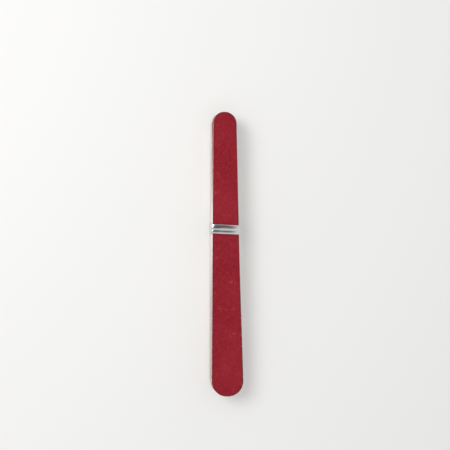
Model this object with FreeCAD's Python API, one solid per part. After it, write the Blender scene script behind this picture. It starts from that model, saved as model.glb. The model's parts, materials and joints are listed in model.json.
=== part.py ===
import FreeCAD, Part
import math
import os

# A bundle of tapered emery boards, held together by a pressed foil band.
# Lengths are in millimetres. The boards lie flat, one on another: Y runs along them towards
# their narrow ends and Z is up. The origin is on the table, under the middle of the bundle.

# Outline of one board
BOARD_LENGTH = 120.0
WIDE_END_WIDTH = 12.9
NARROW_END_WIDTH = 9.8

# Layers of one board: a card core with an abrasive paper glued to each face
CORE_THICKNESS = 0.62
GLUE_THICKNESS = 0.04
COARSE_PAPER_THICKNESS = 0.17
FINE_PAPER_THICKNESS = 0.13

# The stack, counted from the top board down. The boards turn and slip a little in the band.
BOARD_COUNT = 10
STACK_GAP = 0.03
FAN_ANGLE = 0.55
FAN_SHARES = (0.0, 1.0, 0.1, 0.25, -0.15, 0.2, -0.05, 0.3, -0.1, 0.15)
SLIP_LENGTH = 0.5
SLIP_SHARES = (0.0, -0.5, 0.6, -0.9, 0.3, 1.0, -1.0, 0.4, -0.2, 0.7)

# The foil band: a strip with two pressed beads, lapped and glued under the bundle
BAND_FROM_NARROW_END = 49.55
BAND_WIDTH = 3.85
BAND_SKEW = -3.3
FOIL_THICKNESS = 0.1
BEAD_HEIGHT = 0.14
BEAD_CROWN_WIDTH = 0.325
GROOVE_WIDTH = 0.1
GROOVE_FROM_MIDDLE = 0.3
GROOVE_LONG_FLANK = 0.9
GROOVE_SHORT_FLANK = 0.3
BAND_CORNER_RADIUS = 0.3
BAND_SIDE_CLEARANCE = 0.04
BAND_LIFT_CLEARANCE = 0.06

# The lap: the strip's outer end steps over its inner end and is glued to it
LAP_LENGTH = 6.0
LAP_START_X = 2.2
LAP_NOSE_GAP = 0.15
LAP_STEP_RADIUS = 1.5
LAP_GLUE_THICKNESS = 0.03

# Values that follow from the sizes above
wide_radius = WIDE_END_WIDTH / 2
narrow_radius = NARROW_END_WIDTH / 2
wide_centre_y = wide_radius - BOARD_LENGTH / 2
narrow_centre_y = BOARD_LENGTH / 2 - narrow_radius
edge_lean = math.asin((wide_radius - narrow_radius) / (narrow_centre_y - wide_centre_y))
band_y = BOARD_LENGTH / 2 - BAND_FROM_NARROW_END

paper_and_glue_thickness = COARSE_PAPER_THICKNESS + FINE_PAPER_THICKNESS + GLUE_THICKNESS * 2
board_thickness = CORE_THICKNESS + paper_and_glue_thickness
stack_pitch = board_thickness + STACK_GAP

strip_depth = BEAD_HEIGHT + FOIL_THICKNESS
lap_step = FOIL_THICKNESS + LAP_GLUE_THICKNESS
band_floor_z = strip_depth + lap_step
stack_bottom_z = band_floor_z + BAND_LIFT_CLEARANCE
stack_top_z = stack_bottom_z + stack_pitch * BOARD_COUNT - STACK_GAP
band_roof_z = stack_top_z + BAND_LIFT_CLEARANCE


def half_width_at(y):
    """Half of a board's width where its straight edges cross a station along its length."""
    return (narrow_radius + (narrow_centre_y - y) * math.sin(edge_lean)) / math.cos(edge_lean)


def band_half_width():
    """Half of the band's inside width: the boards where it is widest, turned and slipped, and room."""
    widest_y = band_y - BAND_WIDTH / 2 - SLIP_LENGTH
    turn = math.radians(abs(BAND_SKEW) + abs(FAN_ANGLE))
    turned_half_width = half_width_at(widest_y) + BAND_WIDTH / 2 * math.sin(turn)
    corner_rise = max(BAND_CORNER_RADIUS - BAND_LIFT_CLEARANCE, 0)
    corner_inset = BAND_CORNER_RADIUS - math.sqrt(BAND_CORNER_RADIUS**2 - corner_rise**2)
    return turned_half_width + corner_inset + BAND_SIDE_CLEARANCE


def board_face():
    """Outline of one board as a flat face: two round ends joined by straight edges that lean in."""

    def end_point(centre_y, radius, angle):
        return FreeCAD.Vector(radius * math.cos(angle), centre_y + radius * math.sin(angle), 0)

    far_side = math.pi - edge_lean
    narrow_right = end_point(narrow_centre_y, narrow_radius, edge_lean)
    narrow_tip = end_point(narrow_centre_y, narrow_radius, math.pi / 2)
    narrow_left = end_point(narrow_centre_y, narrow_radius, far_side)
    wide_left = end_point(wide_centre_y, wide_radius, far_side)
    wide_tip = end_point(wide_centre_y, wide_radius, -math.pi / 2)
    wide_right = end_point(wide_centre_y, wide_radius, edge_lean)
    edges = [
        Part.Arc(narrow_right, narrow_tip, narrow_left).toShape(),
        Part.LineSegment(narrow_left, wide_left).toShape(),
        Part.Arc(wide_left, wide_tip, wide_right).toShape(),
        Part.LineSegment(wide_right, narrow_right).toShape(),
    ]
    return Part.Face(Part.Wire(edges))


def turn_about_band(shape, degrees):
    """Turns a shape about the upright line through the middle of the band."""
    shape.rotate(FreeCAD.Vector(0, band_y, 0), FreeCAD.Vector(0, 0, 1), degrees)
    return shape


def board_lie(index):
    """How one board lies in the band: its turn in degrees, and its slip along its length."""
    turn = FAN_ANGLE * FAN_SHARES[index % len(FAN_SHARES)]
    slip = SLIP_LENGTH * SLIP_SHARES[index % len(SLIP_SHARES)]
    return turn, slip


def bundle_middle_x():
    """Middle of the bundle's width, measured from the band: halfway between its outermost wide ends."""
    swings = []
    for index in range(BOARD_COUNT):
        turn, slip = board_lie(index)
        swings.append((band_y - wide_centre_y - slip) * math.sin(math.radians(turn)))
    return (min(swings) + max(swings)) / 2


def board_layers(index):
    """The pieces of one board by name. Board 0 is on top; each lies at its own turn and slip."""
    turn, slip = board_lie(index)
    fine_z = stack_bottom_z + stack_pitch * (BOARD_COUNT - 1 - index)
    lower_glue_z = fine_z + FINE_PAPER_THICKNESS
    core_z = lower_glue_z + GLUE_THICKNESS
    upper_glue_z = core_z + CORE_THICKNESS
    coarse_z = upper_glue_z + GLUE_THICKNESS

    def layer(base_z, thickness):
        face = board_face()
        face.translate(FreeCAD.Vector(0, slip, base_z))
        return turn_about_band(face.extrude(FreeCAD.Vector(0, 0, thickness)), turn)

    glue_films = [layer(lower_glue_z, GLUE_THICKNESS), layer(upper_glue_z, GLUE_THICKNESS)]
    return {
        "fine_paper": layer(fine_z, FINE_PAPER_THICKNESS),
        "core": layer(core_z, CORE_THICKNESS),
        "coarse_paper": layer(coarse_z, COARSE_PAPER_THICKNESS),
        "glue": Part.makeCompound(glue_films),
    }


def strip_face(x, inner_height, thickness):
    """Cross-section of the beaded strip under the bundle, where its outer side faces down.

    Two flat-topped beads stand side by side. The groove between them is off the strip's middle, towards
    the boards' wide ends: one bead slopes gently down to it and the other rises steeply from it.
    """

    def point(y, height):
        return FreeCAD.Vector(x, band_y + y, band_floor_z - height)

    def flank(foot_y, crown_side, width, base_height):
        """Three points of a round flank: its foot, its middle and its end at the crown."""
        radius = (width**2 + BEAD_HEIGHT**2) / (BEAD_HEIGHT * 2)
        half_turn = math.asin(width / radius) / 2
        middle_y = width - radius * math.sin(half_turn)
        middle_height = BEAD_HEIGHT - radius * (1 - math.cos(half_turn))
        foot = point(foot_y, base_height)
        middle = point(foot_y + crown_side * middle_y, base_height + middle_height)
        return foot, middle, point(foot_y + crown_side * width, base_height + BEAD_HEIGHT)

    def groove_end_y(side):
        return side * GROOVE_WIDTH / 2 - GROOVE_FROM_MIDDLE

    def bead(side, groove_flank, base_height):
        strip_edge_y = side * BAND_WIDTH / 2
        crown_end_y = groove_end_y(side) + side * (groove_flank + BEAD_CROWN_WIDTH)
        groove = flank(groove_end_y(side), side, groove_flank, base_height)
        outer = flank(strip_edge_y, -side, abs(strip_edge_y - crown_end_y), base_height)
        crown = Part.LineSegment(groove[-1], outer[-1])
        return [Part.Arc(*groove).toShape(), crown.toShape(), Part.Arc(*outer).toShape()]

    def beads(base_height):
        groove_ends = [point(groove_end_y(side), base_height) for side in (-1, 1)]
        groove_floor = Part.LineSegment(*groove_ends).toShape()
        steep_bead = bead(-1, GROOVE_SHORT_FLANK, base_height)
        gentle_bead = bead(1, GROOVE_LONG_FLANK, base_height)
        return steep_bead + [groove_floor] + gentle_bead

    outer_height = inner_height + thickness
    edges = beads(inner_height) + beads(outer_height)
    for y in (-BAND_WIDTH / 2, BAND_WIDTH / 2):
        edges.append(Part.LineSegment(point(y, inner_height), point(y, outer_height)).toShape())
    return Part.Face(Part.Wire(Part.__sortEdges__(edges)))


def strip_path():
    """Line of the strip's inner side: from its inner end once round the stack and out under that end."""
    half_width = band_half_width()
    radius = BAND_CORNER_RADIUS
    step_turn = math.acos(1 - lap_step / (LAP_STEP_RADIUS * 2))
    step_end_x = LAP_START_X + LAP_NOSE_GAP
    step_start_x = step_end_x + LAP_STEP_RADIUS * 2 * math.sin(step_turn)
    lap_z = band_floor_z - lap_step

    def point(x, z):
        return FreeCAD.Vector(x, band_y, z)

    def corner_point(side, centre_z, angle):
        centre_x = side * (half_width - radius)
        return point(centre_x + radius * math.cos(angle), centre_z + radius * math.sin(angle))

    def corner(side, centre_z, first_angle, last_angle):
        angles = (first_angle, (first_angle + last_angle) / 2, last_angle)
        return [corner_point(side, centre_z, angle) for angle in angles]

    def leave_step(angle):
        drop = LAP_STEP_RADIUS * (1 - math.cos(angle))
        return point(step_start_x - LAP_STEP_RADIUS * math.sin(angle), band_floor_z - drop)

    def join_step(angle):
        rise = LAP_STEP_RADIUS * (1 - math.cos(angle))
        return point(step_end_x + LAP_STEP_RADIUS * math.sin(angle), lap_z + rise)

    low_z = band_floor_z + radius
    high_z = band_roof_z - radius
    quarter = math.pi / 2
    bends = [
        corner(-1, low_z, -quarter, -quarter * 2),
        corner(-1, high_z, quarter * 2, quarter),
        corner(1, high_z, quarter, 0),
        corner(1, low_z, 0, -quarter),
        [leave_step(0), leave_step(step_turn / 2), leave_step(step_turn)],
        [join_step(step_turn), join_step(step_turn / 2), join_step(0)],
    ]
    edges = []
    previous_end = point(LAP_START_X, band_floor_z)
    for bend in bends:
        start, middle, end = bend
        if not previous_end.isEqual(start, Part.Precision.confusion()):
            edges.append(Part.LineSegment(previous_end, start).toShape())
        edges.append(Part.Arc(start, middle, end).toShape())
        previous_end = end
    edges.append(Part.LineSegment(previous_end, point(LAP_START_X - LAP_LENGTH, lap_z)).toShape())
    return Part.Wire(edges)


def foil_band():
    """The strip swept once round the stack, with its outer end lapped under its inner end."""
    section = strip_face(LAP_START_X, 0, FOIL_THICKNESS)
    path = strip_path()
    sweep = Part.BRepOffsetAPI.MakePipeShell(path)
    sweep.setBiNormalMode(FreeCAD.Vector(0, 1, 0))
    sweep.add(section.OuterWire, path.OrderedVertexes[0])
    sweep.build()
    sweep.makeSolid()
    return turn_about_band(sweep.shape(), BAND_SKEW)


def band_glue():
    """The glue film between the two lapped ends of the strip."""
    section = strip_face(LAP_START_X, FOIL_THICKNESS, LAP_GLUE_THICKNESS)
    film = section.extrude(FreeCAD.Vector(-LAP_LENGTH, 0, 0))
    return turn_about_band(film, BAND_SKEW)


def main():
    nodes = {"foil_band": foil_band(), "band_glue": band_glue()}
    for index in range(BOARD_COUNT):
        for layer_name, shape in board_layers(index).items():
            nodes[f"board_{index + 1:02d}_{layer_name}"] = shape
    os.makedirs("parts", exist_ok=True)
    to_origin = FreeCAD.Vector(-bundle_middle_x(), 0, 0)
    for name, shape in nodes.items():
        shape.translate(to_origin)
        shape.exportStep(f"parts/{name}.step")


main()
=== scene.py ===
import json
import math

import bpy
import numpy as np
from mathutils import Matrix, Vector, noise

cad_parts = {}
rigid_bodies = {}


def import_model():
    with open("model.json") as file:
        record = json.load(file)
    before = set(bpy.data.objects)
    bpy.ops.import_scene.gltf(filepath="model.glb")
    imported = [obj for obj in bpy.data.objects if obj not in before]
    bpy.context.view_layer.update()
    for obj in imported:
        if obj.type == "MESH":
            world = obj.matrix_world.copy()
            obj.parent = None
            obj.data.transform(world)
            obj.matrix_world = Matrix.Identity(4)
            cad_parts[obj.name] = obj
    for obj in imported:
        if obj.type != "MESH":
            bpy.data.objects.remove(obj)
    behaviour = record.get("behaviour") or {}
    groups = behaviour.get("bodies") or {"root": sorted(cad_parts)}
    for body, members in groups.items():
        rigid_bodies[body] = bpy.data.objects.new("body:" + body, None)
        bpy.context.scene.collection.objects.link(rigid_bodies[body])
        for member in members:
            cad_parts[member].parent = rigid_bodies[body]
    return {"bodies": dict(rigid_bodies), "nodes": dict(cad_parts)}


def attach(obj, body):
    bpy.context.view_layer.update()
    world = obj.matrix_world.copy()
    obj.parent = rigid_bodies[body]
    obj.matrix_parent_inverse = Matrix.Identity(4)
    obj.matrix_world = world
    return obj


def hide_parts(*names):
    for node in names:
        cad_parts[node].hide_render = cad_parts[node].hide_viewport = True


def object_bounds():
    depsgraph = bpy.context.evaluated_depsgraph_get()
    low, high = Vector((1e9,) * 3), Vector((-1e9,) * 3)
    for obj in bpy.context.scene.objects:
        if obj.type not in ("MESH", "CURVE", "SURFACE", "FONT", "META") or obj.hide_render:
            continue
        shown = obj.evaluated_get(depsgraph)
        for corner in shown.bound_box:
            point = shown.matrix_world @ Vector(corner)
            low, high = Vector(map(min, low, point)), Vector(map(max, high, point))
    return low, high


# Looks of the emery board bundle: finer meshes for its layers and its band, materials, light and camera.
# Lengths are in metres, angles in degrees. The boards lie along Y, narrow ends at +Y, and Z is up.
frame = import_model()
cad_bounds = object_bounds()

# Where a board's round tip is measured, as shares of the wide end's radius
TIP_FROM_SHARE = 0.25
TIP_TO_SHARE = 0.5

# Shape of the cut edges
ARC_STEPS = 28
SIDE_STEPS = 150
PAPER_RAGGED = 0.000012
PAPER_RAGGED_SIZE = 0.0011
CORE_RAGGED = 0.00003
CORE_RAGGED_SIZE = 0.0005
CORE_BULGE = 0.00002
CORE_RINGS = 7
RIM_WIDTH = 0.0007
RIM_INSET_SHARES = (0.25, 0.5, 0.75, 1.0)
GRIT_DEPTH = 0.00005
COAT_BLEND = 0.00001
ROUND_STEPS = 4
SHARP_ANGLE = 40.0

# Each layer's place on its square map: where a side of it begins and ends, as shares, and its strips
MAP_NAME = "OFBake"
MAP_INSET_SHARE = 0.02
LEVEL_NORMAL = 0.5
PAPER_MAP = {"gritted": (0.0, 0.9, 3), "glued": (0.9, 0.92, 1), "wall": (0.92, 1.0, 4)}
CORE_MAP = {"wall": (0.0, 0.9, 16), "upper": (0.9, 0.95, 1), "lower": (0.95, 1.0, 1)}

# The foil band, as it is pressed and lapped
BAND_SKEW = -3.3
FOIL_THICKNESS = 0.0001
BEAD_HEIGHT = 0.00014
BEAD_CROWN_WIDTH = 0.000325
GROOVE_WIDTH = 0.0001
GROOVE_FROM_MIDDLE = 0.0003
GROOVE_LONG_FLANK = 0.0009
GROOVE_SHORT_FLANK = 0.0003
BAND_CORNER_RADIUS = 0.0003
LAP_START_X = 0.0022
LAP_LENGTH = 0.006
LAP_NOSE_GAP = 0.00015
LAP_STEP_RADIUS = 0.0015
LAP_GLUE_THICKNESS = 0.00003
FOIL_STEP = 0.00022
CORNER_STEPS = 7
FLANK_STEPS = 7
CROWN_STEPS = 4
BAND_SLACK = 0.0004
SLACK_POWER = 4
SLACK_SIDE_SHARE = 0.98
SLACK_ROOF_SHARE = 0.9
CRINKLE = 0.00007
CRINKLE_OFFSET = 0.4
CRINKLE_SIZE = 0.0024
CRINKLE_STRETCH = 0.55

# Grit, card and foil patterns
COARSE_GRAIN = 0.00011
FINE_GRAIN = 0.00007
MOTTLE_SIZE = 0.0013
CLUMP_SIZE = 0.00045
CLOUD_SIZE = 0.014
SCUFF_SIZE = 0.0012
SCUFF_PATCH = 0.0035
CHIP_SIZE = 0.0003
GRAIN_RELIEF = 0.00005
FIBRE_SIZE = 0.00022
FIBRE_STRETCH = 0.15
CARD_RELIEF = 0.00003
SCRATCH_SIZE = 0.00012
SCRATCH_STRETCH = 0.03
DENT_SIZE = 0.0006
FOIL_RELIEF = 0.000012

# How a pattern shows: where its noise begins and ends, and its share where it shows in full
GRAIN_MIDDLE_SHARES = (0.0, 0.6, 1.0)
GRAIN_LIGHT_SHARES = (0.6, 1.0, 1.0)
MOTTLE_SHARES = (0.35, 0.7, 0.48)
CLUMP_SHARES = (0.5, 0.75, 0.5)
CLOUD_SHARES = (0.35, 0.7, 0.25)
STROKE_FOLD_SHARE = 0.5
STROKE_SHARES = (0.46, 0.5, 1.0)
SCUFF_PATCH_SHARES = (0.63, 0.75, 0.48)
SCUFF_GRAIN_SHARES = (0.3, 0.7, 1.0)
# Painted shade: the grit is drawn darker in a band along its cut edge
PAINTED_RIM_SHADE_SHARES = (0.3, 0.8, 0.8)
CHIP_RIM_SHARES = (0.92, 1.0, 0.6)
CHIP_SHARES = (0.48, 0.62, 1.0)
GLINT_SHARE = 0.92
GRAIN_EDGE_SHARE = 0.8
FIBRE_SHARES = (0.3, 0.7, 1.0)
DUST_SHARES = (0.5, 0.75, 0.2)
SCRATCH_SHARES = (0.3, 0.7, 1.0)
SCRATCH_DEPTH_SHARE = 0.25
BLOT_SHARES = (0.3, 0.7, 1.0)

# Colours, from dark to light where there are several
COARSE_COLOURS = ((0.17, 0.004, 0.010, 1), (0.30, 0.011, 0.023, 1), (0.40, 0.032, 0.048, 1))
FINE_COLOURS = ((0.27, 0.035, 0.04, 1), (0.38, 0.06, 0.07, 1), (0.48, 0.11, 0.11, 1))
SCUFF_COLOUR = (0.55, 0.25, 0.26, 1)
BACKING_COLOUR = (0.94, 0.88, 0.86, 1)
CARD_COLOURS = ((0.90, 0.84, 0.80, 1), (0.97, 0.95, 0.93, 1))
DUST_COLOUR = (0.78, 0.48, 0.48, 1)
FOIL_COLOURS = ((0.63, 0.63, 0.63, 1), (0.71, 0.71, 0.71, 1))
GLUE_COLOURS = ((0.80, 0.68, 0.54, 1), (0.90, 0.80, 0.68, 1))

# Gloss and the strength of the bumps
GRIT_ROUGHNESS = 0.85
GLINT_ROUGHNESS = 0.4
GRIT_SPECULAR = 0.15
GRIT_BUMP = 0.7
CARD_ROUGHNESS = 0.9
CARD_BUMP = 0.6
FOIL_ROUGHNESS = (0.20, 0.15)
FOIL_BUMP = 0.5
GLUE_ROUGHNESS = (0.3, 0.5)
FLOOR_ROUGHNESS = 0.9

# The photograph's frame, and where the top board lies in it
PHOTO_PIXELS = 450
TIP_PIXEL_Y = 111.8
WIDE_END_PIXEL_Y = 396.5
BOARD_PIXEL_X = 226.0
VIEW_DISTANCE = 0.355
VIEW_LEAN = 5.8
VIEW_ROLL = 0.45
SENSOR_WIDTH = 0.036
CLIP_START_SHARE = 0.01
MILLIMETRES_PER_METRE = 1000

# Floor and light
FLOOR_HALF_WIDTH = 3.0
FLOOR_COLOUR = (0.85, 0.85, 0.84, 1.0)
SKY_COLOUR = (0.84, 0.84, 0.84, 1.0)
DARK_COLOUR = (0.09, 0.09, 0.09, 1.0)
DARK_TILT = 9.0
DARK_TURN = 8.0
DARK_INNER = 12.0
DARK_OUTER = 32.0
KEY_PLACE = (-0.34, 0.20, 0.52)
KEY_SIZE = 0.34
KEY_POWER = 1.9
KEY_COLOUR = (1.0, 0.99, 0.975)


def board_lie(node):
    """Where a board's layer lies: its matrix from the board's middle, and the sizes of its outline."""
    points = np.array([vertex.co for vertex in frame["nodes"][node].data.vertices])
    flat = points[:, :2] - points[:, :2].mean(axis=0)
    along = np.linalg.eigh(flat.T @ flat)[1][:, -1]
    along = along * np.sign(along[1])
    across = np.array((along[1], -along[0]))
    u = points[:, :2] @ along
    v = points[:, :2] @ across
    middle = along * (u.min() + u.max()) / 2 + across * (v.min() + v.max()) / 2
    wide_radius = (v.max() - v.min()) / 2
    from_tip = u.max() - u
    off_axis = v - (v.min() + v.max()) / 2
    on_tip = (from_tip > wide_radius * TIP_FROM_SHARE) & (from_tip < wide_radius * TIP_TO_SHARE)
    narrow_radius = np.mean((from_tip[on_tip] ** 2 + off_axis[on_tip] ** 2) / (2 * from_tip[on_tip]))
    matrix = Matrix((
        (across[0], along[0], 0, middle[0]),
        (across[1], along[1], 0, middle[1]),
        (0, 0, 1, 0),
        (0, 0, 0, 1),
    ))
    return {
        "matrix": matrix,
        "length": u.max() - u.min(),
        "wide_radius": wide_radius,
        "narrow_radius": narrow_radius,
        "low": points[:, 2].min(),
        "high": points[:, 2].max(),
    }


def half_outline(lie):
    """Right half of a board's outline, tip to tip: circle centres on the axis, radii, outward normals."""
    narrow_centre = lie["length"] / 2 - lie["narrow_radius"]
    wide_centre = lie["wide_radius"] - lie["length"] / 2
    lean = math.asin((lie["wide_radius"] - lie["narrow_radius"]) / (narrow_centre - wide_centre))
    narrow_angles = np.linspace(math.pi / 2, lean, ARC_STEPS + 1)
    wide_angles = np.linspace(lean, -math.pi / 2, ARC_STEPS + 1)
    side = np.linspace(0, 1, SIDE_STEPS + 1)[1:-1]
    angles = np.concatenate((narrow_angles, np.full(len(side), lean), wide_angles))
    shares = np.concatenate((np.zeros(ARC_STEPS + 1), side, np.ones(ARC_STEPS + 1)))
    centres = narrow_centre + (wide_centre - narrow_centre) * shares
    radii = lie["narrow_radius"] + (lie["wide_radius"] - lie["narrow_radius"]) * shares
    return centres, radii, np.cos(angles), np.sin(angles)


def whole_loop(right_x, right_y):
    """Closes a half outline into a loop: down the right side and back up the left."""
    x = np.concatenate((right_x, -right_x[-2:0:-1]))
    y = np.concatenate((right_y, right_y[-2:0:-1]))
    return x, y


def ragged(x, y, z, size, seed):
    """Even noise from -1 to 1 along a cut edge."""
    return np.array([noise.noise(Vector((a / size, b / size, z / size + seed))) for a, b in zip(x, y)])


def board_ring(lie, inset, z, unevenness, size, seed):
    """One loop of points round a board, set in from its outline and roughened like a cut edge."""
    centres, radii, out_x, out_y = half_outline(lie)
    normal_x, normal_y = whole_loop(out_x, out_y)
    x, y = whole_loop((radii - inset) * out_x, centres + (radii - inset) * out_y)
    shift = ragged(x, y, z, size, seed) * unevenness
    return np.column_stack((x + normal_x * shift, y + normal_y * shift, np.full(len(x), z)))


def ladder(first, count):
    """Faces that close a loop of points straight across, from its right side to its left."""
    half = count // 2
    faces = [(first, first + count - 1, first + 1)]
    for step in range(1, half - 1):
        left = first + count - step
        faces.append((first + step, left, left - 1, first + step + 1))
    faces.append((first + half - 1, first + half + 1, first + half))
    return faces


def map_inset(shares):
    """Shares of a strip, drawn in a little so that neighbouring strips stay apart."""
    return MAP_INSET_SHARE + (1 - 2 * MAP_INSET_SHARE) * shares


def lay_map(mesh, ring_count, layout):
    """Lays a layer out flat on a square map: its two faces and its wall, each cut into strips."""
    points = np.array([vertex.co for vertex in mesh.vertices])
    corners = np.array([loop.vertex_index for loop in mesh.loops])
    sizes = [len(face.vertices) for face in mesh.polygons]
    faces = np.repeat(np.arange(len(sizes)), sizes)
    facing = np.array([face.normal.z for face in mesh.polygons])[faces]
    x, y, z = ((points - points.min(axis=0)) / np.ptp(points, axis=0))[corners].T
    steps = corners % ring_count
    closes_ring = np.isin(faces, faces[steps == ring_count - 1])
    round_wall = np.where(closes_ring & (steps == 0), ring_count, steps) / ring_count
    sides = {
        "upper": (facing > LEVEL_NORMAL, y, x),
        "lower": (facing < -LEVEL_NORMAL, y, x),
        "wall": (np.abs(facing) <= LEVEL_NORMAL, round_wall, z),
    }
    places = np.empty((len(corners), 2))
    for side, (chosen, along, across) in sides.items():
        low, high, strips = layout[side]
        face_middles = np.bincount(faces, along) / sizes
        strip = np.floor(face_middles * strips)[faces]
        places[chosen, 0] = map_inset(along * strips - strip)[chosen]
        places[chosen, 1] = (low + (high - low) * (strip + map_inset(across)) / strips)[chosen]
    mesh.uv_layers.new(name=MAP_NAME).uv.foreach_set("vector", places.astype(np.float32).ravel())


def mesh_from_rings(name, rings, shares, layout):
    """A closed mesh from loops of points, from its lower face up its wall to its upper face."""
    count = len(rings[0])
    faces = [tuple(reversed(face)) for face in ladder(0, count)]
    for level in range(len(rings) - 1):
        lower = level * count
        upper = lower + count
        for step in range(count):
            following = (step + 1) % count
            faces.append((lower + step, upper + step, upper + following, lower + following))
    faces.extend(ladder((len(rings) - 1) * count, count))
    mesh = bpy.data.meshes.new(name)
    mesh.from_pydata(np.concatenate(rings).tolist(), [], faces)
    for attribute, ring_shares in shares.items():
        layer = mesh.attributes.new(attribute, "FLOAT", "POINT")
        layer.data.foreach_set("value", np.repeat(ring_shares, count).astype(np.float32))
    lay_map(mesh, count, layout)
    return mesh


def add_piece(name, mesh, matrix, body, node, material):
    """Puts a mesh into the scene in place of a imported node, moving with that node's body."""
    mesh.transform(matrix)
    mesh.shade_smooth()
    mesh.set_sharp_from_angle(angle=math.radians(SHARP_ANGLE))
    mesh.materials.append(material)
    piece = bpy.data.objects.new(name, mesh)
    bpy.context.scene.collection.objects.link(piece)
    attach(piece, body)
    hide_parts(node)


def paper_mesh(name, lie, outer_is_up, seed):
    """An abrasive paper: its gritted face meets the cut edge in a small round, its glued face sharply."""
    glued_z = lie["low"] if outer_is_up else lie["high"]
    gritted_z = lie["high"] if outer_is_up else lie["low"]
    towards_glue = -1 if outer_is_up else 1
    coat_z = gritted_z + towards_glue * GRIT_DEPTH
    # Each row: inset from the outline, height, share of the rim (where shade is painted darker and the grit
    # chips), share of grit over paper
    profile = [
        (RIM_WIDTH, glued_z, 0, 0),
        (0, glued_z, 1, 0),
        (0, coat_z + towards_glue * COAT_BLEND, 1, 0),
        (0, coat_z, 1, 1),
    ]
    for step in range(1, ROUND_STEPS + 1):
        turn = math.pi / 2 * step / ROUND_STEPS
        inset = GRIT_DEPTH * (1 - math.cos(turn))
        depth = GRIT_DEPTH * (1 - math.sin(turn))
        profile.append((inset, gritted_z + towards_glue * depth, 1, 1))
    for share in RIM_INSET_SHARES:
        profile.append((GRIT_DEPTH + RIM_WIDTH * share, gritted_z, 1 - share, 1))
    if not outer_is_up:
        profile.reverse()
    insets, heights, rims, coats = zip(*profile)
    rings = []
    for inset, z in zip(insets, heights):
        rings.append(board_ring(lie, inset, z, PAPER_RAGGED, PAPER_RAGGED_SIZE, seed))
    shares = {"rim": rims, "coat": coats}
    gritted, glued = ("upper", "lower") if outer_is_up else ("lower", "upper")
    layout = {gritted: PAPER_MAP["gritted"], glued: PAPER_MAP["glued"], "wall": PAPER_MAP["wall"]}
    return mesh_from_rings(name, rings, shares, layout)


def core_mesh(name, lie, seed):
    """A card core: its cut edge bulges a little between the papers and is fibrous."""
    rings = [board_ring(lie, RIM_WIDTH, lie["low"], 0, CORE_RAGGED_SIZE, seed)]
    for share in np.linspace(0, 1, CORE_RINGS):
        bulge = CORE_BULGE * math.sin(math.pi * share)
        z = lie["low"] + (lie["high"] - lie["low"]) * share
        rings.append(board_ring(lie, -bulge, z, CORE_RAGGED, CORE_RAGGED_SIZE, seed))
    rings.append(board_ring(lie, RIM_WIDTH, lie["high"], 0, CORE_RAGGED_SIZE, seed))
    return mesh_from_rings(name, rings, {}, CORE_MAP)


def add_board(body, seed, materials):
    """Dresses one board: finer meshes for its core and papers, and a finish for its glue."""
    layers = {
        "core": ("card", lambda name, lie: core_mesh(name, lie, seed)),
        "coarse_paper": ("coarse_abrasive", lambda name, lie: paper_mesh(name, lie, True, seed)),
        "fine_paper": ("fine_abrasive", lambda name, lie: paper_mesh(name, lie, False, seed)),
    }
    for layer, (slot, make_mesh) in layers.items():
        node = f"{body}_{layer}"
        name = f"{node}_cut"
        lie = board_lie(node)
        add_piece(name, make_mesh(name, lie), lie["matrix"], body, node, materials[slot])
    finish_node(f"{body}_glue", materials["glue"])


def finish_node(node, material):
    """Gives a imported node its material."""
    slots = frame["nodes"][node].data.materials
    slots.clear()
    slots.append(material)


def band_lie():
    """Where the band lies: its matrix from the middle of its underside, and its outer sizes."""
    points = np.array([vertex.co for vertex in frame["nodes"]["foil_band"].data.vertices])
    low, high = points.min(axis=0), points.max(axis=0)
    middle = Vector(((low[0] + high[0]) / 2, (low[1] + high[1]) / 2, low[2]))
    matrix = Matrix.Translation(middle) @ Matrix.Rotation(math.radians(BAND_SKEW), 4, "Z")
    local = points @ np.array(matrix.inverted().to_3x3()).T + np.array(matrix.inverted().translation)
    return {
        "matrix": matrix,
        "half_width": local[:, 0].max(),
        "width": local[:, 1].max() - local[:, 1].min(),
        "height": high[2] - low[2],
    }


def arc_points(centre, radius, first, last, steps):
    """Points along an arc in the XZ plane, angles from +X towards +Z."""
    x, z = centre
    angles = np.linspace(first, last, steps + 1)
    return [(x + radius * math.cos(angle), z + radius * math.sin(angle)) for angle in angles]


def band_route(lie):
    """Corners of the strip's inner side in XZ: once round the stack and out under its own start."""
    depth = BEAD_HEIGHT + FOIL_THICKNESS
    lap_step = FOIL_THICKNESS + LAP_GLUE_THICKNESS
    half_width = lie["half_width"] - depth
    floor_z = depth + lap_step
    roof_z = lie["height"] - depth
    corner_x = half_width - BAND_CORNER_RADIUS
    low_z = floor_z + BAND_CORNER_RADIUS
    high_z = roof_z - BAND_CORNER_RADIUS
    quarter = math.pi / 2
    step_turn = math.acos(1 - lap_step / (LAP_STEP_RADIUS * 2))
    step_end_x = LAP_START_X + LAP_NOSE_GAP
    step_start_x = step_end_x + LAP_STEP_RADIUS * 2 * math.sin(step_turn)
    leave_centre = (step_start_x, floor_z - LAP_STEP_RADIUS)
    join_centre = (step_end_x, floor_z - lap_step + LAP_STEP_RADIUS)
    route = [(LAP_START_X, floor_z)]
    route += arc_points((-corner_x, low_z), BAND_CORNER_RADIUS, -quarter, -quarter * 2, CORNER_STEPS)
    route += arc_points((-corner_x, high_z), BAND_CORNER_RADIUS, quarter * 2, quarter, CORNER_STEPS)
    route += arc_points((corner_x, high_z), BAND_CORNER_RADIUS, quarter, 0, CORNER_STEPS)
    route += arc_points((corner_x, low_z), BAND_CORNER_RADIUS, 0, -quarter, CORNER_STEPS)
    route += arc_points(leave_centre, LAP_STEP_RADIUS, quarter, quarter + step_turn, CORNER_STEPS)
    route += arc_points(join_centre, LAP_STEP_RADIUS, step_turn - quarter, -quarter, CORNER_STEPS)[1:]
    route.append((LAP_START_X - LAP_LENGTH, floor_z - lap_step))
    return route


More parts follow.
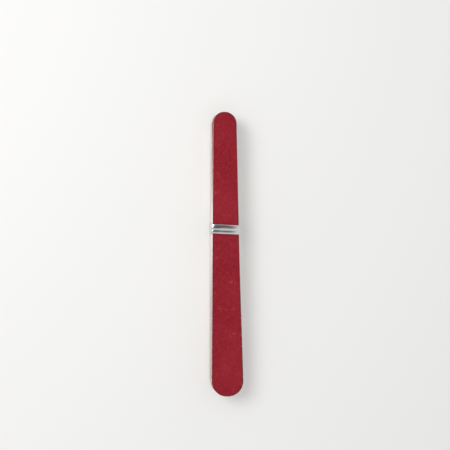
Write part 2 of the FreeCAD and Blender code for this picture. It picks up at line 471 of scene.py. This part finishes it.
def divided(route, lie):
    """The route, its long runs divided evenly and slackened, and the outward direction at each point."""
    points = []
    for (start_x, start_z), (end_x, end_z) in zip(route, route[1:]):
        run = math.dist((start_x, start_z), (end_x, end_z))
        steps = max(1, round(run / FOIL_STEP))
        for step in range(steps):
            share = step / steps
            points.append((start_x + (end_x - start_x) * share, start_z + (end_z - start_z) * share))
    points.append(route[-1])
    points = slackened(np.array(points), lie)
    travel = np.gradient(points, axis=0)
    travel /= np.linalg.norm(travel, axis=1)[:, None]
    return points, np.column_stack((-travel[:, 1], travel[:, 0]))


def flank(width):
    """Places across a bead's flank, and its height there: an arc that rises to the crown."""
    radius = (width**2 + BEAD_HEIGHT**2) / (BEAD_HEIGHT * 2)
    y = np.linspace(0, width, FLANK_STEPS + 1)
    return y, BEAD_HEIGHT - radius + np.sqrt(radius**2 - (width - y) ** 2)


def bead(groove_end, strip_edge, groove_flank):
    """Places across one bead from its groove to the strip's edge, and the height there."""
    crown_start = groove_end + groove_flank
    crown_end = crown_start + BEAD_CROWN_WIDTH
    groove_y, groove_height = flank(groove_flank)
    outer_y, outer_height = flank(strip_edge - crown_end)
    crown_y = np.linspace(crown_start, crown_end, CROWN_STEPS + 1)[1:-1]
    y = np.concatenate((groove_end + groove_y, crown_y, strip_edge - outer_y[::-1]))
    height = np.concatenate((groove_height, np.full(len(crown_y), BEAD_HEIGHT), outer_height[::-1]))
    return y, height


def bead_section(width):
    """Places across the strip, and the height there: one bead slopes to the groove, one drops to it."""
    gentle_y, gentle_height = bead(GROOVE_WIDTH / 2 - GROOVE_FROM_MIDDLE, width / 2, GROOVE_LONG_FLANK)
    steep_y, steep_height = bead(GROOVE_WIDTH / 2 + GROOVE_FROM_MIDDLE, width / 2, GROOVE_SHORT_FLANK)
    y = np.concatenate((-steep_y[::-1], gentle_y))
    height = np.concatenate((steep_height[::-1], gentle_height))
    return y, height


def slackened(points, lie):
    """The route with its upper run and its sides standing a little off the stack between the corners."""
    across = points[:, 0] / np.abs(points[:, 0]).max()
    upright = points[:, 1] / lie["height"] * 2 - 1
    on_side = np.sign(across) * (np.abs(across) > SLACK_SIDE_SHARE)
    on_roof = upright > SLACK_ROOF_SHARE
    lifted = points.copy()
    lifted[:, 0] += on_side * BAND_SLACK * (1 - upright**SLACK_POWER).clip(0)
    lifted[:, 1] += on_roof * BAND_SLACK * (1 - across**SLACK_POWER)
    return lifted


def band_mesh(name, lie):
    """The beaded strip swept along its route, with small dents that fade towards its flat underside."""
    route, outward = divided(band_route(lie), lie)
    y, height = bead_section(lie["width"])
    loop_y = np.concatenate((y, y[::-1]))
    loop_height = np.concatenate((height + FOIL_THICKNESS, height[::-1]))
    rings = []
    for (x, z), (out_x, out_z) in zip(route, outward):
        places = [Vector((x * CRINKLE_STRETCH, place, z * CRINKLE_STRETCH)) for place in loop_y]
        dents = np.array([CRINKLE_OFFSET + noise.noise(place / CRINKLE_SIZE) for place in places])
        reach = loop_height + dents * CRINKLE * (z - route[0][1]).clip(0) / lie["height"]
        rings.append(np.column_stack((x + out_x * reach, loop_y, z + out_z * reach)))
    count = len(loop_y)
    faces = []
    for level in range(len(rings) - 1):
        lower = level * count
        upper = lower + count
        for step in range(count):
            following = (step + 1) % count
            faces.append((lower + step, lower + following, upper + following, upper + step))
    last = (len(rings) - 1) * count
    for step in range(len(y) - 1):
        faces.append((step, count - 1 - step, count - 2 - step, step + 1))
        faces.append((last + step, last + step + 1, last + count - 2 - step, last + count - 1 - step))
    mesh = bpy.data.meshes.new(name)
    mesh.from_pydata(np.concatenate(rings).tolist(), [], faces)
    return mesh


def add_band(materials):
    """The foil band and the glue in its lap."""
    lie = band_lie()
    name = "foil_band_pressed"
    add_piece(name, band_mesh(name, lie), lie["matrix"], "band", "foil_band", materials["foil"])
    finish_node("band_glue", materials["glue"])


def new_material(name):
    """An empty material with its shader, and the object's own coordinates."""
    material = bpy.data.materials.new(name)
    material.use_nodes = True
    tree = material.node_tree
    place = add_node(tree, "ShaderNodeTexCoord").outputs["Object"]
    return material, tree, tree.nodes["Principled BSDF"], place


def add_node(tree, kind, inputs=None, **settings):
    """Adds a node with its settings, and its inputs as plain values or as sockets to link from."""
    made = tree.nodes.new(kind)
    for name, value in settings.items():
        setattr(made, name, value)
    for name, value in (inputs or {}).items():
        set_input(tree, made.inputs[name], value)
    return made


def set_input(tree, socket, value):
    """Links a socket to an input, or sets the input's value."""
    if isinstance(value, bpy.types.NodeSocket):
        tree.links.new(value, socket)
    else:
        socket.default_value = value


def mix_colour(tree, share, first, second):
    """Mixes two colours, on the mix node's colour sockets, which follow those for numbers and vectors."""
    mix = tree.nodes.new("ShaderNodeMix")
    mix.data_type = "RGBA"
    set_input(tree, mix.inputs[0], share)
    set_input(tree, mix.inputs[6], first)
    set_input(tree, mix.inputs[7], second)
    return mix.outputs[2]


def maths(tree, operation, first, second):
    """Works out one number from two."""
    made = tree.nodes.new("ShaderNodeMath")
    made.operation = operation
    set_input(tree, made.inputs[0], first)
    set_input(tree, made.inputs[1], second)
    return made.outputs[0]


def spread(tree, value, low, high, to_low, to_high):
    """Maps a number from one range to another, held at the ends."""
    inputs = {"Value": value, "From Min": low, "From Max": high, "To Min": to_low, "To Max": to_high}
    return add_node(tree, "ShaderNodeMapRange", inputs).outputs["Result"]


def add_bump(tree, shader, height, strength, relief):
    """Gives a surface the relief of a pattern."""
    bump = add_node(tree, "ShaderNodeBump", {"Height": height, "Strength": strength, "Distance": relief})
    tree.links.new(bump.outputs["Normal"], shader.inputs["Normal"])


def ramp(tree, value, shares):
    """The share of a pattern: none before its noise begins, the full share after its noise ends."""
    begin, end, full = shares
    return spread(tree, value, begin, end, 0, full)


def noise_value(tree, place, size, detail, stretch=(1, 1, 1)):
    """Noise of a given size, stretched along an axis where its share there is under 1."""
    scaled = add_node(tree, "ShaderNodeMapping", {"Vector": place, "Scale": stretch}).outputs["Vector"]
    inputs = {"Vector": scaled, "Scale": 1 / size, "Detail": detail}
    return add_node(tree, "ShaderNodeTexNoise", inputs).outputs["Fac"]


def cells(tree, place, size):
    """Grains of a given size: a random share for each one, and the distance from its middle."""
    voronoi = add_node(tree, "ShaderNodeTexVoronoi", {"Vector": place, "Scale": 1 / size})
    split = add_node(tree, "ShaderNodeSeparateColor", {"Color": voronoi.outputs["Color"]})
    return split.outputs["Red"], voronoi.outputs["Distance"]


def abrasive(name, colours, grain):
    """Grit on paper: grains of uneven tone, soft clouds, a few scuffs, painted shade as a darker rim along
    the outline, and a pale cut edge.
    """
    material, tree, shader, place = new_material(name)
    dark, middle, light = colours
    tone, from_grain = cells(tree, place, grain)
    mottle = noise_value(tree, place, MOTTLE_SIZE, detail=2)
    clump = noise_value(tree, place, CLUMP_SIZE, detail=1)
    cloud = noise_value(tree, place, CLOUD_SIZE, detail=2)
    scuff = noise_value(tree, place, SCUFF_SIZE, detail=2)
    patch = noise_value(tree, place, SCUFF_PATCH, detail=1)
    chipping = noise_value(tree, place, CHIP_SIZE, detail=2)
    rim = add_node(tree, "ShaderNodeAttribute", attribute_name="rim").outputs["Fac"]
    coat = add_node(tree, "ShaderNodeAttribute", attribute_name="coat").outputs["Fac"]

    colour = mix_colour(tree, ramp(tree, tone, GRAIN_MIDDLE_SHARES), dark, middle)
    colour = mix_colour(tree, ramp(tree, tone, GRAIN_LIGHT_SHARES), colour, light)
    colour = mix_colour(tree, ramp(tree, mottle, MOTTLE_SHARES), colour, dark)
    colour = mix_colour(tree, ramp(tree, clump, CLUMP_SHARES), colour, dark)
    colour = mix_colour(tree, ramp(tree, cloud, CLOUD_SHARES), colour, light)
    stroke = ramp(tree, maths(tree, "PINGPONG", scuff, STROKE_FOLD_SHARE), STROKE_SHARES)
    scuffed = maths(tree, "MULTIPLY", stroke, ramp(tree, patch, SCUFF_PATCH_SHARES))
    scuffed = maths(tree, "MULTIPLY", scuffed, ramp(tree, tone, SCUFF_GRAIN_SHARES))
    colour = mix_colour(tree, scuffed, colour, SCUFF_COLOUR)
    # Painted shade: the grit darkens towards its cut edge, standing in for the shade there
    colour = mix_colour(tree, ramp(tree, rim, PAINTED_RIM_SHADE_SHARES), colour, dark)
    chip = maths(tree, "MULTIPLY", ramp(tree, rim, CHIP_RIM_SHARES), ramp(tree, chipping, CHIP_SHARES))
    colour = mix_colour(tree, chip, colour, BACKING_COLOUR)
    colour = mix_colour(tree, coat, BACKING_COLOUR, colour)
    tree.links.new(colour, shader.inputs["Base Color"])

    glint = maths(tree, "GREATER_THAN", tone, GLINT_SHARE)
    tree.links.new(spread(tree, glint, 0, 1, GRIT_ROUGHNESS, GLINT_ROUGHNESS), shader.inputs["Roughness"])
    shader.inputs["Specular IOR Level"].default_value = GRIT_SPECULAR
    add_bump(tree, shader, spread(tree, from_grain, 0, GRAIN_EDGE_SHARE, 1, 0), GRIT_BUMP, GRAIN_RELIEF)
    return material


def card(name):
    """Solid pale card, seen at its cut edge: long fibres in thin plies, with a little red dust."""
    material, tree, shader, place = new_material(name)
    fibre = noise_value(tree, place, FIBRE_SIZE, detail=5, stretch=(FIBRE_STRETCH, FIBRE_STRETCH, 1))
    dust = noise_value(tree, place, MOTTLE_SIZE, detail=5)
    colour = mix_colour(tree, ramp(tree, fibre, FIBRE_SHARES), *CARD_COLOURS)
    colour = mix_colour(tree, ramp(tree, dust, DUST_SHARES), colour, DUST_COLOUR)
    tree.links.new(colour, shader.inputs["Base Color"])
    shader.inputs["Roughness"].default_value = CARD_ROUGHNESS
    add_bump(tree, shader, fibre, CARD_BUMP, CARD_RELIEF)
    return material


def foil(name):
    """Thin bright foil with small dents and fine scratches along the strip."""
    material, tree, shader, place = new_material(name)
    scratch = noise_value(tree, place, SCRATCH_SIZE, detail=3, stretch=(SCRATCH_STRETCH, 1, SCRATCH_STRETCH))
    dent = noise_value(tree, place, DENT_SIZE, detail=3)
    scratched = ramp(tree, scratch, SCRATCH_SHARES)
    tree.links.new(mix_colour(tree, scratched, *FOIL_COLOURS), shader.inputs["Base Color"])
    shader.inputs["Metallic"].default_value = 1.0
    tree.links.new(spread(tree, scratched, 0, 1, *FOIL_ROUGHNESS), shader.inputs["Roughness"])
    height = maths(tree, "ADD", dent, maths(tree, "MULTIPLY", scratch, SCRATCH_DEPTH_SHARE))
    add_bump(tree, shader, height, FOIL_BUMP, FOIL_RELIEF)
    return material


def glue(name):
    """Dried amber glue."""
    material, tree, shader, place = new_material(name)
    blot = ramp(tree, noise_value(tree, place, MOTTLE_SIZE, detail=3), BLOT_SHARES)
    tree.links.new(mix_colour(tree, blot, *GLUE_COLOURS), shader.inputs["Base Color"])
    tree.links.new(spread(tree, blot, 0, 1, *GLUE_ROUGHNESS), shader.inputs["Roughness"])
    return material


def make_materials():
    """One material for each slot of the record."""
    return {
        "coarse_abrasive": abrasive("coarse_abrasive", COARSE_COLOURS, COARSE_GRAIN),
        "fine_abrasive": abrasive("fine_abrasive", FINE_COLOURS, FINE_GRAIN),
        "card": card("card"),
        "foil": foil("foil"),
        "glue": glue("glue"),
    }


def add_floor():
    """A plain pale floor at the height that the bundle lies on."""
    material = bpy.data.materials.new("floor")
    material.use_nodes = True
    shader = material.node_tree.nodes["Principled BSDF"]
    shader.inputs["Base Color"].default_value = FLOOR_COLOUR
    shader.inputs["Roughness"].default_value = FLOOR_ROUGHNESS
    half = FLOOR_HALF_WIDTH
    z = cad_bounds[0].z
    corners = [(-half, -half, z), (half, -half, z), (half, half, z), (-half, half, z)]
    mesh = bpy.data.meshes.new("floor")
    mesh.from_pydata(corners, [], [(0, 1, 2, 3)])
    mesh.materials.append(material)
    floor = bpy.data.objects.new("floor", mesh)
    bpy.context.scene.collection.objects.link(floor)


def add_sky():
    """Even pale surroundings with one dark place overhead, towards the boards' narrow ends."""
    world = bpy.data.worlds.new("studio")
    world.use_nodes = True
    bpy.context.scene.world = world
    tree = world.node_tree
    direction = add_node(tree, "ShaderNodeTexCoord").outputs["Generated"]
    tilt = math.radians(DARK_TILT)
    turn = math.radians(DARK_TURN)
    dark_place = tree.nodes.new("ShaderNodeVectorMath")
    dark_place.operation = "DOT_PRODUCT"
    tree.links.new(direction, dark_place.inputs[0])
    dark_place.inputs[1].default_value = (-math.sin(turn), math.sin(tilt), math.cos(tilt))
    outer = math.cos(math.radians(DARK_OUTER))
    inner = math.cos(math.radians(DARK_INNER))
    darkness = spread(tree, dark_place.outputs["Value"], outer, inner, 0, 1)
    colour = mix_colour(tree, darkness, SKY_COLOUR, DARK_COLOUR)
    tree.links.new(colour, tree.nodes["Background"].inputs["Color"])


def add_key_light():
    """One large soft lamp from the upper left."""
    lamp = bpy.data.lights.new("key", "AREA")
    lamp.size = KEY_SIZE
    lamp.energy = KEY_POWER
    lamp.color = KEY_COLOUR
    key = bpy.data.objects.new("key", lamp)
    key.location = KEY_PLACE
    key.rotation_euler = (-Vector(KEY_PLACE)).to_track_quat("-Z", "Y").to_euler()
    bpy.context.scene.collection.objects.link(key)


def add_camera():
    """The photograph's view, from above and a little to the left, with the top board at its pixels."""
    lie = board_lie("board_01_coarse_paper")
    pixels_per_metre = (WIDE_END_PIXEL_Y - TIP_PIXEL_Y) / lie["length"]
    board_pixel_y = (TIP_PIXEL_Y + WIDE_END_PIXEL_Y) / 2
    lean = math.radians(VIEW_LEAN)
    level_right = Vector((math.cos(lean), 0, math.sin(lean)))
    roll = Matrix.Rotation(-math.radians(VIEW_ROLL), 3, Vector((-math.sin(lean), 0, math.cos(lean))))
    right = roll @ level_right
    up = roll @ Vector((0, 1, 0))
    back = right.cross(up)
    centre = lie["matrix"].translation + Vector((0, 0, lie["high"]))
    aim = centre - right * ((BOARD_PIXEL_X - PHOTO_PIXELS / 2) / pixels_per_metre)
    aim += up * ((board_pixel_y - PHOTO_PIXELS / 2) / pixels_per_metre)
    data = bpy.data.cameras.new("photo_view")
    data.sensor_width = SENSOR_WIDTH * MILLIMETRES_PER_METRE
    data.lens = data.sensor_width * VIEW_DISTANCE * pixels_per_metre / PHOTO_PIXELS
    data.clip_start = VIEW_DISTANCE * CLIP_START_SHARE
    camera = bpy.data.objects.new("photo_view", data)
    turned = Matrix((right, up, back)).transposed().to_4x4()
    camera.matrix_world = Matrix.Translation(aim + back * VIEW_DISTANCE) @ turned
    bpy.context.scene.collection.objects.link(camera)
    bpy.context.scene.camera = camera


def main():
    """Dresses every board and the band, then sets the stage."""
    materials = make_materials()
    boards = sorted(body for body in frame["bodies"] if body != "band")
    for seed, body in enumerate(boards):
        add_board(body, seed, materials)
    add_band(materials)
    add_floor()
    add_sky()
    add_key_light()
    add_camera()
    bpy.context.scene.view_settings.view_transform = "Standard"


main()
